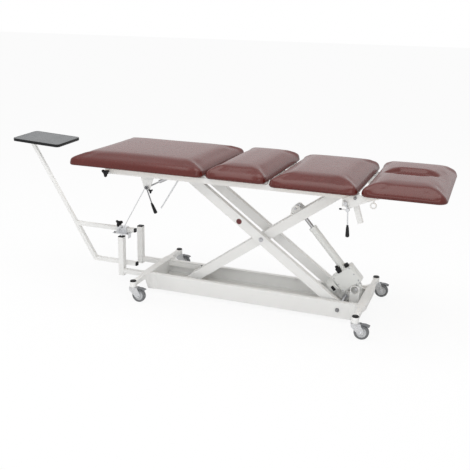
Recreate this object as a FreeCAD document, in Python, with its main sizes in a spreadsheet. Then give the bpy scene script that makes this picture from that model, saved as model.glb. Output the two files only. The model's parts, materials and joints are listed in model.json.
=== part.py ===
import FreeCAD
import Part
import math
import os
import re

# Four section treatment table with a scissor lift and a traction stand.
# Millimetres, +Z up, the head end towards +X, the release levers towards -Y.
# Lengths along X in the sheet are counted from the middle of the four pads;
# origin_shift then moves everything so that X = 0 is the middle of the whole.

doc = FreeCAD.newDocument("treatment_table")
sheet = doc.addObject("Spreadsheet::Sheet", "Sheet")
nodes = []

V = FreeCAD.Vector
ALONG_Y = FreeCAD.Rotation(V(1, 0, 0), 90)
ALONG_X = FreeCAD.Rotation(V(0, 1, 0), 90)

DIMENSIONS = {
    "origin_shift": 252,
    # pads
    "pad_width": 686, "pad_thick": 64, "pad_bulge_height": 17, "pad_gap": 10,
    "pad_shoulder": 46, "pad_crown": 9, "pad_drawn_in": 7,
    "board_thick": 12, "board_inset": 24,
    "foot_pad_end": -965, "foot_break": -199, "mid_break": 129, "head_break": 575,
    "head_pad_end": 972, "inner_corner": 36, "foot_corner": 24, "head_corner": 46,
    "slot_start": 612, "slot_length": 314, "slot_width": 128, "slot_deep": 22,
    # upper frame
    "frame_top": 716, "carriage_rise": 10, "side_rail_out": 280, "side_rail_wide": 28,
    "side_rail_high": 28, "side_rail_start": -776, "side_rail_end": 566,
    "cross_bar_thick": 10, "cross_bar_wide": 30, "knob_x": -752, "knob_z": 700,
    # roller channels, alike in section to the base rails
    "channel_out": 135, "channel_wide": 31, "channel_high": 40, "channel_wall": 3,
    "channel_start": -730, "channel_end": 505,
    # scissor
    "pivot_x": 475, "pivot_low": 62, "pivot_high": 686, "arm_run": 870,
    "arm_depth": 50, "arm_wide": 30, "arm_wall": 3, "outer_arm_in": 70,
    "inner_arm_in": 34, "shaft_radius": 10, "bore_gap": 0.1,
    # base
    "rail_out": 135, "rail_lip": 24, "rail_wall": 3, "rail_low": 18, "rail_top": 106,
    "floor_low": 29, "floor_top": 32, "leg_head_x": 599, "leg_foot_x": -612,
    "leg_half": 22, "leg_arm_half": 12, "leg_top": 112, "leg_low": 86, "leg_end_low": 82,
    "leg_wall": 3, "web_long": 36, "web_out": 46,
    "track_half": 300, "socket_radius": 18, "stem_radius": 5.5,
    # casters
    "wheel_radius": 37.5, "wheel_wide": 22, "trail": 34, "axle_radius": 4,
    # actuator, measured along its screw from the rod end
    "ear_along": 232, "ear_up": 45, "screw_angle": 48.5, "rod_radius": 10,
    "tube_radius": 20, "tube_start": 133, "collar_radius": 26, "collar_long": 16, "gear_start": 400,
    "gear_end": 506, "gear_low": -80, "gear_top": 50, "gear_half": 32,
    "motor_at": 446, "motor_radius": 40, "motor_low": -125,
    "tail_at": 523, "tail_pin": 8, "cheek_in": 34, "cheek_thick": 6, "cheek_half": 25,
    "eye_radius": 20.5,
    # traction stand
    "post_side": 32, "post_x": -779, "post_y": 115, "post_low": 64, "post_top": 290,
    "stay_side": 26, "stay_end": -385, "stay_low": 76,
    "stand_y": -87, "stand_tube": 22, "upper_tube_low": 318, "lower_tube_low": 120,
    "slant_tube": 18, "stand_tube_end": -712, "stand_cap": 10, "shelf_x": -1322,
    "shelf_long": 306, "shelf_wide": 236, "shelf_thick": 16, "shelf_top": 793,
    # section supports
    "head_pivot_x": 553, "head_pivot_z": 698, "clamp_x": 508.8, "clamp_z": 669.3,
    "foot_hinge_z": 736, "spring_foot_x": -566, "spring_foot_z": 618,
    "knuckle_radius": 4.6, "hinge_pin": 3, "spring_pin": 4,
    "spring_y": -195, "spring_top_x": -385, "spring_top_z": 711,
}


def fill_sheet():
    for row, (alias, value) in enumerate(DIMENSIONS.items(), start=1):
        sheet.set("A%d" % row, alias)
        sheet.set("B%d" % row, str(value))
        sheet.setAlias("B%d" % row, alias)
    doc.recompute()


def size(alias):
    return float(getattr(sheet, alias))


def bound(text):
    """Turn names of sheet cells inside an expression into references."""
    def swap(match):
        word = match.group(0)
        return "Sheet." + word if word in DIMENSIONS else word
    return re.sub(r"[a-z_]+", swap, str(text))


def bind(item, prop, text):
    item.setExpression(prop, bound(text))


def put(item, x=0, y=0, z=0, turn=None):
    """Place an item, its corner or centre bound to the sheet."""
    item.Placement = FreeCAD.Placement(V(0, 0, 0), turn or FreeCAD.Rotation())
    bind(item, "Placement.Base.x", x)
    bind(item, "Placement.Base.y", y)
    bind(item, "Placement.Base.z", z)
    return item


def box(length, width, height, x=0, y=0, z=0):
    item = doc.addObject("Part::Box", "Block")
    bind(item, "Length", length)
    bind(item, "Width", width)
    bind(item, "Height", height)
    return put(item, x, y, z)


def rod(radius, length, x=0, y=0, z=0, turn=None):
    """A cylinder along Z, or along the axis that turn brings Z to.

    ALONG_Y points it to -Y, so y is then its end with the larger Y.
    """
    item = doc.addObject("Part::Cylinder", "Round")
    bind(item, "Radius", radius)
    bind(item, "Height", length)
    return put(item, x, y, z, turn)


def cross_rod(radius, half, x, z):
    """A cylinder along Y, centred on the middle plane."""
    return rod(radius, "2 * (%s)" % half, x, half, z, ALONG_Y)


def cut(base, *tools):
    for tool in tools:
        item = doc.addObject("Part::Cut", "Cut")
        item.Base = base
        item.Tool = tool
        base = item
    return base


def fuse(*items):
    item = doc.addObject("Part::MultiFuse", "Joined")
    item.Shapes = list(items)
    return item


def group(*items):
    item = doc.addObject("Part::Compound", "Group")
    item.Links = list(items)
    return item


def both_sides(maker):
    """Near and far copies: maker(sign) with -1 for the side towards -Y."""
    return [maker(-1), maker(1)]


def node(label, item):
    """Name a finished sub-part and move it to the part's own origin."""
    item.Label = label
    present = dict(item.ExpressionEngine)
    x = present.get(".Placement.Base.x", present.get("Placement.Base.x", "0"))
    item.setExpression("Placement.Base.x", "%s + Sheet.origin_shift" % x)
    nodes.append(item)
    return item


def rounded(points):
    """Straight and round edges through corners given as (x, y, radius)."""
    edges = []
    starts = []
    ends = []
    mids = []
    count = len(points)
    for i, (x, y, radius) in enumerate(points):
        here = V(x, y, 0)
        to_last = (V(*points[i - 1][:2], 0) - here).normalize()
        to_next = (V(*points[(i + 1) % count][:2], 0) - here).normalize()
        if radius <= 0:
            starts.append(here)
            ends.append(here)
            mids.append(None)
            continue
        half = to_last.getAngle(to_next) / 2
        reach = radius / math.tan(half)
        middle = here + (to_last + to_next).normalize() * (radius / math.sin(half))
        starts.append(here + to_last * reach)
        ends.append(here + to_next * reach)
        mids.append(middle + (here - middle).normalize() * radius)
    for i in range(count):
        if mids[i] is not None:
            edges.append(Part.Arc(starts[i], mids[i], ends[i]))
        following = starts[(i + 1) % count]
        if ends[i].distanceToPoint(following) > 1e-6:
            edges.append(Part.LineSegment(ends[i], following))
    return edges


def plan(points, thick, holes=(), x=0, y=0, z=0, turn=None):
    """A padded plate: outline corners with radii, and round holes (x, y, r)."""
    body = doc.addObject("PartDesign::Body", "Plate")
    sketch = body.newObject("Sketcher::SketchObject", "Outline")
    roles = {f.Role: f for f in body.Origin.OriginFeatures}
    sketch.AttachmentSupport = (roles["XY_Plane"], "")
    sketch.MapMode = "FlatFace"
    for edge in rounded(points):
        sketch.addGeometry(edge, False)
    for centre_x, centre_y, radius in holes:
        sketch.addGeometry(Part.Circle(V(centre_x, centre_y, 0), V(0, 0, 1), radius), False)
    pad = body.newObject("PartDesign::Pad", "Thickness")
    pad.Profile = sketch
    bind(pad, "Length", thick)
    return put(body, x, y, z, turn)


def upright(points, thick, far_y, holes=(), x=0, z=0):
    """A plate standing in the X-Z plane, from far_y towards -Y."""
    return plan(points, thick, holes, x, far_y, z, ALONG_Y)


def turned(points, x=0, y=0, z=0, turn=None):
    """A solid of revolution about its own Z from (radius, height) corners."""
    body = doc.addObject("PartDesign::Body", "Turned")
    sketch = body.newObject("Sketcher::SketchObject", "Half")
    roles = {f.Role: f for f in body.Origin.OriginFeatures}
    sketch.AttachmentSupport = (roles["XZ_Plane"], "")
    sketch.MapMode = "FlatFace"
    for edge in rounded(points):
        sketch.addGeometry(edge, False)
    spin = body.newObject("PartDesign::Revolution", "Turn")
    spin.Profile = sketch
    spin.ReferenceAxis = (sketch, ["V_Axis"])
    spin.Angle = 360
    return put(body, x, y, z, turn)


fill_sheet()

half_pad = size("pad_width") / 2
scissor_rise = size("pivot_high") - size("pivot_low")
arm_length = math.hypot(size("arm_run"), scissor_rise)
arm_angle = math.degrees(math.atan2(scissor_rise, size("arm_run")))
BORE = "shaft_radius + bore_gap"
CENTRE_X = "pivot_x - arm_run / 2"
CENTRE_Z = "(pivot_low + pivot_high) / 2"


# Base: two lipped rails, a floor that the lower rollers run on, two cross legs

def base_rail(side):
    """A rail with lips turned inwards, like a C lying towards the middle."""
    near = "-rail_out" if side < 0 else "rail_out - rail_lip"
    hollow_near = "-rail_out + rail_wall" if side < 0 else "rail_out - rail_lip - rail_wall"
    start = "leg_foot_x + leg_half"
    long = "leg_head_x - leg_foot_x - 2 * leg_half"
    outer = box(long, "rail_lip", "rail_top - rail_low", start, near, "rail_low")
    hollow = box("%s + 20" % long, "rail_lip", "rail_top - rail_low - 2 * rail_wall",
                 "%s - 10" % start, hollow_near, "rail_low + rail_wall")
    bolt_hole = cross_rod(BORE, "rail_out + 10", "pivot_x", "pivot_low")
    return cut(outer, hollow, bolt_hole)


node("base_rails", group(*both_sides(base_rail)))
node("base_floor", box("leg_head_x - leg_foot_x - 2 * leg_half", "2 * (rail_out - rail_wall)",
                       "floor_top - floor_low", "leg_foot_x + leg_half",
                       "-rail_out + rail_wall", "floor_low"))


def leg_corners(inset):
    """Plan of a cross leg, wide between the rails and narrow out to the casters."""
    half = size("leg_half") - inset
    arm = size("leg_arm_half") - inset
    reach = size("track_half") - 2 * inset
    rail = size("rail_out")
    out = rail + size("web_out")
    bend = 14
    quarter = [(half, rail, bend), (arm, out, bend), (arm, reach, 0)]
    mirror = [(-x, y, r) for x, y, r in reversed(quarter)]
    far = quarter + mirror
    return far + [(-x, -y, r) for x, y, r in far]


def leg_web(side, flare):
    """A web that curves out of the rail's outer face into the leg and rises with it."""
    half = size("leg_half")
    arm = size("leg_arm_half")
    inner = arm - size("leg_wall") / 2
    rail = size("rail_out")
    long = size("web_long")
    out = size("web_out")
    low = size("rail_low")
    foot = 12
    curve = [(inner, rail, 0), (half + long, rail, 0), (half + 0.3 * long, rail + 0.3 * out, 30),
             (arm, rail + out - 1, 0), (inner, rail + out - 1, 0)]
    height = [(rail, low, 0), (rail + foot, low, foot), (rail + out, size("leg_low") + 2, 0),
              (rail + out, size("leg_top"), 0), (rail, size("leg_top"), 0)]
    web = doc.addObject("Part::Common", "Web")
    web.Base = plan([(x * flare, y * side, r) for x, y, r in curve], "leg_top")
    web.Tool = plan([(y * side, z, r) for y, z, r in height], 240, x=-120,
                    turn=FreeCAD.Rotation(V(1, 1, 1), 120))
    return web


def cross_leg(label, x, flare):
    """A bar open below, flare being the direction along X in which the rails lie."""
    bar = plan(leg_corners(0), "leg_top - leg_low", z="leg_low")
    inside = plan(leg_corners(size("leg_wall")), "leg_top - leg_low - leg_wall", z="leg_low")
    plate_x = "leg_half - leg_wall" if flare > 0 else "-leg_half"
    plate = box("leg_wall", "2 * rail_out", "leg_low - rail_low", plate_x, "-rail_out", "rail_low")
    sockets = [rod("socket_radius", "leg_top - leg_end_low", 0, y, "leg_end_low")
               for y in ("-track_half", "track_half")]
    stems = [rod("stem_radius + bore_gap", "leg_top - leg_end_low - 6", 0, y, "leg_end_low")
             for y in ("-track_half", "track_half")]
    webs = both_sides(lambda side: leg_web(side, flare))
    leg = cut(fuse(cut(bar, inside), plate, *webs, *sockets), *stems)
    if flare > 0:
        holes = [box("6 * leg_half", "stay_side + 0.4", "stay_side + 0.4", "-3 * leg_half",
                     y, "stay_low - 0.2")
                 for y in ("-post_y - stay_side / 2 - 0.2", "post_y - stay_side / 2 - 0.2")]
        leg = cut(leg, *holes)
    node(label, put(leg, x))


cross_leg("cross_leg_head", "leg_head_x", -1)
cross_leg("cross_leg_foot", "leg_foot_x", 1)


# Shafts: each has sleeves that keep the arms apart and heads on its ends

def shaft(half, x, z, sleeves, head=0, sleeve_radius=15):
    """A cross shaft with sleeves given as (from, to) distances off the middle."""
    pieces = [cross_rod("shaft_radius", half, x, z)]
    for start, stop in sleeves:
        if start == 0:
            pieces.append(cross_rod(sleeve_radius, stop, x, z))
            continue
        for side in (-1, 1):
            far = "(%s)" % stop if side > 0 else "-(%s)" % start
            pieces.append(rod(sleeve_radius, "(%s) - (%s)" % (stop, start), x, far, z, ALONG_Y))
    if head:
        for side in (-1, 1):
            far = "%s + %s" % (half, head) if side > 0 else "-(%s)" % half
            pieces.append(rod("shaft_radius - 1", head, x, far, z, ALONG_Y))
    return fuse(*pieces)


OUTER_OUT = "outer_arm_in + arm_wide"
INNER_OUT = "inner_arm_in + arm_wide"
node("lower_pivot_shaft", shaft("rail_out", "pivot_x", "pivot_low",
                                [("outer_arm_in - 14", "outer_arm_in - 1"),
                                 (OUTER_OUT + " + 1", "rail_out - rail_wall")],
                                head=5, sleeve_radius=14))
node("upper_pivot_shaft", shaft("channel_out", "pivot_x", "pivot_high",
                                [(0, "inner_arm_in - 1"),
                                 (INNER_OUT + " + 1", "channel_out - channel_wall")],
                                head=5))
node("outer_arm_shafts", group(
    shaft("outer_arm_in + arm_wide", CENTRE_X, CENTRE_Z,
          [(0, "inner_arm_in - 1"), (INNER_OUT + " + 1", "outer_arm_in")], head=5),
    shaft("channel_out - channel_wall - 4", "pivot_x - arm_run", "pivot_high",
          [(0, "outer_arm_in"), (OUTER_OUT, OUTER_OUT + " + 5")])))
node("lower_roller_shaft", shaft("inner_arm_in + arm_wide + 28", "pivot_x - arm_run", "pivot_low",
                                 [(0, "inner_arm_in")]))


# Scissor arms: closed tubes with round ends, bored for the shafts

def arm_tube(tilt, x, z, y, bores):
    """A tube from a pivot at x, z, rising at tilt degrees from +X; y is its near face."""
    def slab(inset):
        radius = "arm_depth / 2 - %s" % inset
        wide = "arm_wide - 2 * %s" % inset
        bar = box("%f" % arm_length, wide, "arm_depth - 2 * %s" % inset, 0, inset,
                  "-arm_depth / 2 + %s" % inset)
        ends = [rod(radius, wide, at, "arm_wide - %s" % inset, 0, ALONG_Y)
                for at in (0, "%f" % arm_length)]
        return fuse(bar, *ends)
    tube = cut(slab("0"), slab("arm_wall"))
    bosses = [rod("shaft_radius + 6", "arm_wide", at, "arm_wide", 0, ALONG_Y) for at in bores]
    holes = [rod(BORE, "arm_wide + 10", at, "arm_wide + 5", 0, ALONG_Y) for at in bores]
    tube = cut(fuse(tube, *bosses), *holes)
    put(tube, x, y, z, FreeCAD.Rotation(V(0, 1, 0), -tilt))
    return tube


middle = "%f" % (arm_length / 2)
whole = "%f" % arm_length
OUTER_Y = {-1: "-outer_arm_in - arm_wide", 1: "outer_arm_in"}
INNER_Y = {-1: "-inner_arm_in - arm_wide", 1: "inner_arm_in"}
node("outer_arms", group(*[
    arm_tube(180 - arm_angle, "pivot_x", "pivot_low", OUTER_Y[side], ("0", middle, whole))
    for side in (-1, 1)]))
node("inner_arms", group(*[
    arm_tube(arm_angle, "pivot_x - arm_run", "pivot_low", INNER_Y[side], ("0", middle, whole))
    for side in (-1, 1)]))


def roller_pair(radius, wide, start, x, z):
    """Two rollers on one shaft, each bored to turn on it."""
    rollers = []
    for side in (-1, 1):
        far = "%s + %s" % (start, wide) if side > 0 else "-(%s)" % start
        wheel = rod(radius, wide, x, far, z, ALONG_Y)
        rollers.append(cut(wheel, cross_rod(BORE, "channel_out + 10", x, z)))
    return group(*rollers)


node("lower_rollers", roller_pair("pivot_low - floor_top - 0.2", "20", INNER_OUT + " + 3",
                                  "pivot_x - arm_run", "pivot_low"))
node("upper_rollers", roller_pair("channel_high / 2 - channel_wall - 0.3", "20",
                                  OUTER_OUT + " + 6", "pivot_x - arm_run", "pivot_high"))


# Upper frame: side rails, roller channels and flat cross bars

def side_rail(side):
    """A closed tube; the near one has a lug for the head clamp."""
    near = "-side_rail_out" if side < 0 else "side_rail_out - side_rail_wide"
    low = "frame_top - side_rail_high"
    tube = box("side_rail_end - side_rail_start", "side_rail_wide", "side_rail_high",
               "side_rail_start", near, low)
    hollow = box("side_rail_end - side_rail_start - 6", "side_rail_wide - 6",
                 "side_rail_high - 6", "side_rail_start + 3", near + " + 3", low + " + 3")
    rail = cut(tube, hollow)
    boss = rod("9", "side_rail_wide", "head_pivot_x", near + " + side_rail_wide",
               "head_pivot_z", ALONG_Y)
    hole = rod("5.1", "side_rail_wide + 4", "head_pivot_x", near + " + side_rail_wide + 2",
               "head_pivot_z", ALONG_Y)
    rail = cut(fuse(rail, boss), hole)
    if side > 0:
        return rail
    lug = box(34, 8, "frame_top - side_rail_high - 650", "clamp_x - 17", near, 650)
    clamp_hole = rod("4.1", 20, "clamp_x", near + " + 14", "clamp_z", ALONG_Y)
    knob_hole = rod("4.1", 8, "knob_x", near + " + 5", "knob_z", ALONG_Y)
    return cut(fuse(rail, lug), clamp_hole, knob_hole)


node("frame_side_rails", group(*both_sides(side_rail)))


def roller_channel(side):
    near = "-channel_out" if side < 0 else "channel_out - channel_wide"
    hollow_near = near + (" + channel_wall" if side < 0 else " - channel_wall")
    top = "frame_top - cross_bar_thick"
    outer = box("channel_end - channel_start", "channel_wide", "channel_high",
                "channel_start", near, top + " - channel_high")
    hollow = box("channel_end - channel_start + 20", "channel_wide",
                 "channel_high - 2 * channel_wall", "channel_start - 10", hollow_near,
                 top + " - channel_high + channel_wall")
    return cut(outer, hollow, cross_rod(BORE, "channel_out + 10", "pivot_x", "pivot_high"))


node("roller_channels", group(*both_sides(roller_channel)))

CROSS_BARS = (-761, -180, 300, 540)
rail_gap = "2 * (side_rail_out - side_rail_wide)"
node("frame_cross_bars", group(*[
    box("cross_bar_wide", rail_gap, "cross_bar_thick", "%d - cross_bar_wide / 2" % x,
        "-side_rail_out + side_rail_wide", "frame_top - cross_bar_thick")
    for x in CROSS_BARS]))


def stub_tube():
    """A square tube that hangs, leaning, from the last cross bar."""
    outer = box(24, 24, 150, -12, -12, -150)
    hollow = box(18, 18, 146, -9, -9, -151)
    lean = FreeCAD.Rotation(V(0, 1, 0), -18)
    hung = put(cut(outer, hollow), 532, -238, "frame_top - cross_bar_thick + 4", lean)
    return cut(hung, box(60, 40, 20, 500, -260, "frame_top - cross_bar_thick"))


node("accessory_socket", stub_tube())


# Cushions: lofts that swell to the side and crown on top, over plywood boards

def cushion_outline(start, stop, start_corner, stop_corner, inset, z):
    """Rounded rectangle drawn in by inset, as a wire at height z."""
    low = -half_pad + inset
    near_r = max(start_corner - inset, 8)
    far_r = max(stop_corner - inset, 8)
    corners = [(start + inset, low, near_r), (stop - inset, low, far_r),
               (stop - inset, -low, far_r), (start + inset, -low, near_r)]
    edges = [edge.toShape() for edge in rounded(corners)]
    wire = Part.Wire(edges)
    wire.translate(V(0, 0, z))
    return wire


def cushion_profile():
    """Insets and heights: drawn in below, widest low down, then an even crown."""
    thick = size("pad_thick")
    bulge = size("pad_bulge_height")
    drawn_in = size("pad_drawn_in")
    edge = size("pad_shoulder")
    crown = size("pad_crown")
    steps = []
    for turn in (-90, -60, -30, 0):
        angle = math.radians(turn)
        steps.append((drawn_in * (1 - math.cos(angle)), bulge * (1 + math.sin(angle))))
    for turn in (18, 36, 54, 70):
        angle = math.radians(turn)
        steps.append((edge * (1 - math.cos(angle)),
                      bulge + (thick - crown - bulge) * math.sin(angle)))
    steps.append((edge * 1.1, thick - crown * 0.8))
    steps.append((edge * 1.6, thick - crown * 0.4))
    steps.append((edge * 2.4, thick))
    return steps


def cushion(label, start, stop, start_corner, stop_corner, low, slot=False):
    """A crowned cushion with a recess below for its board."""
    wires = [cushion_outline(start, stop, start_corner, stop_corner, inset, height)
             for inset, height in cushion_profile()]
    solid = Part.makeLoft(wires, True, True)
    form = doc.addObject("Part::Feature", "Form")
    form.Shape = solid
    put(form, 0, 0, low)
    recess = board_block(start, stop, low)
    item = cut(form, recess)
    if slot:
        item = cut(item, face_recess(low))
    node(label, item)


def board_block(start, stop, low):
    return box(stop - start - 2 * size("board_inset"), "pad_width - 2 * board_inset",
               "board_thick", start + size("board_inset"), "-pad_width / 2 + board_inset", low)


def face_recess(low):
    """The long face recess, pointed like an eye and wider at the top."""
    start = size("slot_start")
    stop = start + size("slot_length")
    taper = size("slot_length") * 0.3
    wires = []
    for inset, depth in ((12, size("slot_deep")), (4, size("slot_deep") * 0.45), (0, -4)):
        half = size("slot_width") / 2 - inset
        tip = 24 - inset
        corners = [(start + inset, 0, tip), (start + taper, -half, 60), (stop - taper, -half, 60),
                   (stop - inset, 0, tip), (stop - taper, half, 60), (start + taper, half, 60)]
        wire = Part.Wire([edge.toShape() for edge in rounded(corners)])
        wire.translate(V(0, 0, size("pad_thick") - depth))
        wires.append(wire)
    form = doc.addObject("Part::Feature", "Recess")
    form.Shape = Part.makeLoft(wires, True, False)
    return put(form, 0, 0, low)


half_gap = size("pad_gap") / 2
inner = size("inner_corner")
SECTIONS = (
    ("foot", size("foot_pad_end"), size("foot_break") - half_gap, size("foot_corner"), inner,
     "frame_top + carriage_rise"),
    ("pelvic", size("foot_break") + half_gap, size("mid_break") - half_gap, inner, inner,
     "frame_top + carriage_rise"),
    ("chest", size("mid_break") + half_gap, size("head_break") - half_gap, inner, inner,
     "frame_top"),
    ("head", size("head_break") + half_gap, size("head_pad_end"), inner, size("head_corner"),
     "frame_top"),
)
for name, start, stop, start_corner, stop_corner, low in SECTIONS:
    node(name + "_board", board_block(start, stop, low))
    cushion(name + "_cushion", start, stop, start_corner, stop_corner, low, name == "head")


# Carriage: slides on the side rails and carries the pelvic and foot sections

STRIP = "carriage_rise - 1"
STRIP_LOW = "frame_top + 1"


def carriage():
    """Strips and ties, guide shoes, hinge ears and the plate of the gas spring."""
    pieces = []
    for side in (-1, 1):
        near = "-275" if side < 0 else "240"
        pieces.append(box(875, 35, STRIP, -760, near, STRIP_LOW))
        shoe_near = "-251" if side < 0 else "241"
        for x in (-490, -20):
            pieces.append(box(40, 10, 24, x, shoe_near, "frame_top - 16"))
        ear_near = "-182.4" if side < 0 else "165.4"
        pieces.append(box(45, 17, STRIP, "foot_break + 1", ear_near, STRIP_LOW))
        pieces.append(box(3.4, 17, "foot_hinge_z - frame_top", "foot_break + 1", ear_near,
                          STRIP_LOW))
        pieces.append(rod("knuckle_radius", 17, "foot_break", ear_near + " + 17", "foot_hinge_z",
                          ALONG_Y))
    for x in (-750, -160, 60):
        pieces.append(box(30, 550, STRIP, x, -275, STRIP_LOW))
    bracket = upright([(-607, 726, 0), (-607, 690, 12), (-584, 608, 8), (-552, 608, 8),
                       (-522, 690, 12), (-500, 726, 0)], 5, -205)
    pieces.append(bracket)
    pieces.append(box(107, 40, STRIP, -607, -245, STRIP_LOW))
    pieces.append(rod("spring_pin", 41, "spring_foot_x", -184, "spring_foot_z", ALONG_Y))
    holes = [rod("hinge_pin + 0.1", 60, "foot_break", y, "foot_hinge_z", ALONG_Y)
             for y in (-150, 210)]
    return cut(fuse(*pieces), *holes)


node("carriage_frame", carriage())


def foot_frame():
    """Two strips under the foot board with hinge knuckles and a spring lug."""
    pieces = []
    for side in (-1, 1):
        near = "-190" if side < 0 else "150"
        pieces.append(box(486, 40, STRIP, -701, near, STRIP_LOW))
        ear_near = "-165" if side < 0 else "150"
        pieces.append(box(20, 15, STRIP, "foot_break - 20", ear_near, STRIP_LOW))
        pieces.append(box(4.4, 15, "foot_hinge_z - frame_top", "foot_break - 4.4", ear_near,
                          STRIP_LOW))
        pieces.append(rod("knuckle_radius", 15, "foot_break", ear_near + " + 15", "foot_hinge_z",
                          ALONG_Y))
        pin_far = "-149" if side < 0 else "185"
        pieces.append(rod("hinge_pin", 36, "foot_break", pin_far, "foot_hinge_z", ALONG_Y))
    for x in (-690, -300):
        pieces.append(box(40, 380, STRIP, x, -190, STRIP_LOW))
    pieces.append(box(20, 6, 25, "spring_top_x - 10", -184, "spring_top_z - 10"))
    pieces.append(rod("spring_pin", 26, "spring_top_x", -180, "spring_top_z", ALONG_Y))
    return fuse(*pieces)


node("foot_frame", foot_frame())


# Gas spring of the foot section: rod below, cylinder above

spring_run = size("spring_top_x") - size("spring_foot_x")
spring_rise = size("spring_top_z") - size("spring_foot_z")
spring_length = math.hypot(spring_run, spring_rise)
spring_tilt = FreeCAD.Rotation(V(0, 1, 0), 90 - math.degrees(math.atan2(spring_rise, spring_run)))


def spring_rod():
    eye = rod(9, 10, 0, 5, 0, ALONG_Y)
    bar = rod(4, "%f" % (spring_length * 0.62), 0, 0, 6)
    hole = rod(4.1, 20, 0, 10, 0, ALONG_Y)
    return put(cut(fuse(eye, bar), hole), "spring_foot_x", "spring_y", "spring_foot_z",
               spring_tilt)


def spring_cylinder():
    top = spring_length
    body_low = spring_length * 0.36
    tube = rod(9, "%f" % (top - 12 - body_low), 0, 0, "%f" % body_low)
    bore = rod(4.3, "%f" % (top - 20 - body_low), 0, 0, "%f" % (body_low - 1))
    eye = rod(14, 8, 0, 4, "%f" % top, ALONG_Y)
    slot = rod(9, 20, 0, 10, "%f" % top, ALONG_Y)
    return put(cut(fuse(tube, eye), bore, slot), "spring_foot_x", "spring_y", "spring_foot_z",
               spring_tilt)


node("foot_spring_rod", spring_rod())
node("foot_spring_cylinder", spring_cylinder())


# Levers with black grips, and star knobs

def bar_between(x0, z0, x1, z1, radius, y):
    """A round bar in the X-Z plane from one point to another."""
    length = math.hypot(x1 - x0, z1 - z0)
    item = doc.addObject("Part::Cylinder", "Bar")
    item.Radius = radius
    item.Height = length
    turn = FreeCAD.Rotation(V(0, 0, 1), V(x1 - x0, 0, z1 - z0))
    return put(item, x0, y, z0, turn)


def lever(label, hub, knee, tip, y, link=None):
    """Hub on the pivot, thin rod to the knee and a thick grip to the tip."""
    pieces = [rod(10, 8, hub[0], y + 4, hub[1], ALONG_Y)]
    start = hub
    if link:
        pieces.append(bar_between(hub[0], hub[1], link[0], link[1], 3.5, y))
        pieces.append(rod(9, 12, link[0], y + 5, link[1], ALONG_Y))
        pieces.append(bar_between(link[0] - 38, link[1] + 2, link[0], link[1], 2.5, y))
        start = link
    pieces.append(bar_between(start[0], start[1], knee[0], knee[1], 3.2, y))
    pieces.append(bar_between(knee[0], knee[1], tip[0], tip[1], 8.5, y))
    node(label, cut(fuse(*pieces), rod(4.1, 20, hub[0], y + 10, hub[1], ALONG_Y)))


lever("foot_release_lever", (size("spring_foot_x"), size("spring_foot_z")),
      (-532, 528), (-511, 484), -219)
lever("head_release_lever", (size("clamp_x"), size("clamp_z")),
      (527, 560), (530, 507), -293, link=(523, 638))


def star_knob(turn, x, y, z):
    """Three lobes round a hub, on a screw along the knob's own Z."""
    lobes = []
    for step in range(3):
        angle = math.radians(120 * step + 30)
        lobes.append(rod(7.5, 14, 16 * math.cos(angle), 16 * math.sin(angle), 0))
    hub = rod(12, 22, 0, 0, -6)
    screw = rod(4, 40, 0, 0, -40)
    return put(fuse(*lobes, hub, screw), x, y, z, turn)


node("rail_lock_knob", star_knob(ALONG_Y, "knob_x", "-side_rail_out - 30", "knob_z"))

# Hanging rods: a bent free rod and a long thin stay, both under the carriage
node("hanging_rods", group(
    fuse(bar_between(-382, 674, -479, 518, 4, -222), box(14, 41, 6, -389, -251, 711),
         bar_between(-382, 714, -382, 674, 4, -222)),
    bar_between(-577, 614.5, -712, 377, 2.5, -212.5)))


# Head section: side plates turning on the side rails, with a curved clamp slot

CLAMP_SLOT = 4.6
HEAD_UP = 12
HEAD_DOWN = 22
SLOT_END_ROOM = 6


def head_plate(side):
    """The near plate has a tail with the slot that its clamp bolt runs in."""
    pivot_x = size("head_pivot_x")
    pivot_z = size("head_pivot_z")
    points = [(pivot_x - 12, pivot_z + 14, 8), (668, 716, 3), (668, 704, 4),
              (600, 679, 20), (524, 640, 9), (494, 662, 9), (494, 689, 5)]
    far = "-side_rail_out - 1" if side < 0 else "side_rail_out + 6"
    plate = upright(points, 5, far)
    hole = rod(5.1, 30, "head_pivot_x", far + " + 10", "head_pivot_z", ALONG_Y)
    plate = cut(plate, hole)
    if side > 0:
        return plate
    reach_x = size("clamp_x") - pivot_x
    reach_z = size("clamp_z") - pivot_z
    radius = math.hypot(reach_x, reach_z)
    ring = cut(rod(radius + CLAMP_SLOT, 20, "head_pivot_x", far + " + 6", "head_pivot_z", ALONG_Y),
               rod(radius - CLAMP_SLOT, 20, "head_pivot_x", far + " + 6", "head_pivot_z", ALONG_Y))
    at_rest = math.degrees(math.atan2(reach_z, reach_x))
    corners = [(pivot_x, pivot_z, 0)]
    for turn in (at_rest - HEAD_UP - SLOT_END_ROOM, at_rest + HEAD_DOWN + SLOT_END_ROOM):
        angle = math.radians(turn)
        corners.append((pivot_x + 2 * radius * math.cos(angle),
                        pivot_z + 2 * radius * math.sin(angle), 0))
    wedge = upright(corners, 30, "-side_rail_out + 8")
    slot = doc.addObject("Part::Common", "Slot")
    slot.Base = ring
    slot.Tool = wedge
    return cut(plate, slot)


head_bar = box(40, "2 * side_rail_out + 2", 8, 626, "-side_rail_out - 1", "frame_top - 8")
head_struts = [box(250, 30, 7.9, 632, y, "frame_top - 8") for y in (-190, 160)]
ring_bar = box(6, 5, 16, 636, "-side_rail_out - 6", 680)
ring = doc.addObject("Part::Torus", "Ring")
ring.Radius1 = 13
ring.Radius2 = 3.5
put(ring, 639, "-side_rail_out - 3.5", 669, ALONG_Y)
node("head_frame", fuse(*both_sides(head_plate), head_bar, *head_struts, ring_bar, ring))


def pivot_bolt(x, z, face, long, head_radius=8, stem=5):
    """A bolt along Y with its head outside the near face."""
    stem_rod = rod(stem, long, x, face + long, z, ALONG_Y)
    head = rod(head_radius, 5, x, face, z, ALONG_Y)
    return fuse(stem_rod, head)


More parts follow.
